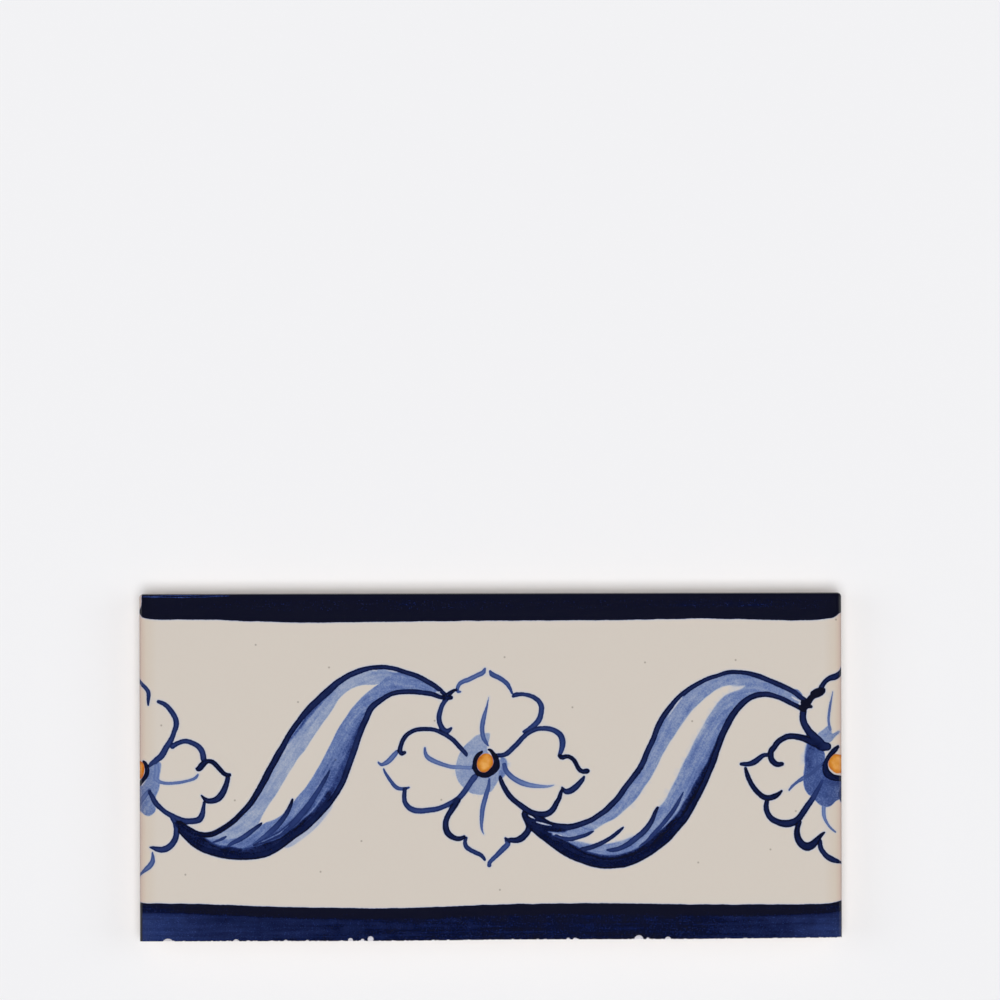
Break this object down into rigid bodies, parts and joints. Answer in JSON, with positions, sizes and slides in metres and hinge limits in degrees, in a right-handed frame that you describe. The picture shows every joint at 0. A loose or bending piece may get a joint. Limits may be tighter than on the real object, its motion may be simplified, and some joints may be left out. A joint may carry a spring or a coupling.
{
  "type": "wall tile",
  "caption": "Thin rectangular glazed border tile cut from a square wall tile: rounded glazed edges on three sides, one sawn edge, keyed grooves in the back.",
  "frame": {"origin": "Centre of the tile's bounding box, on the plane of the back's ribs that the tile lies on.", "axes": "+X along the long edge, +Y from the sawn edge to the glazed long edge, +Z out of the glazed face."},
  "size_m": [0.14, 0.0692, 0.008],
  "materials": {
    "tile": "gloss"
  },
  "bodies": {
    "root": {"tile": "tile"}
  },
  "joints": []
}
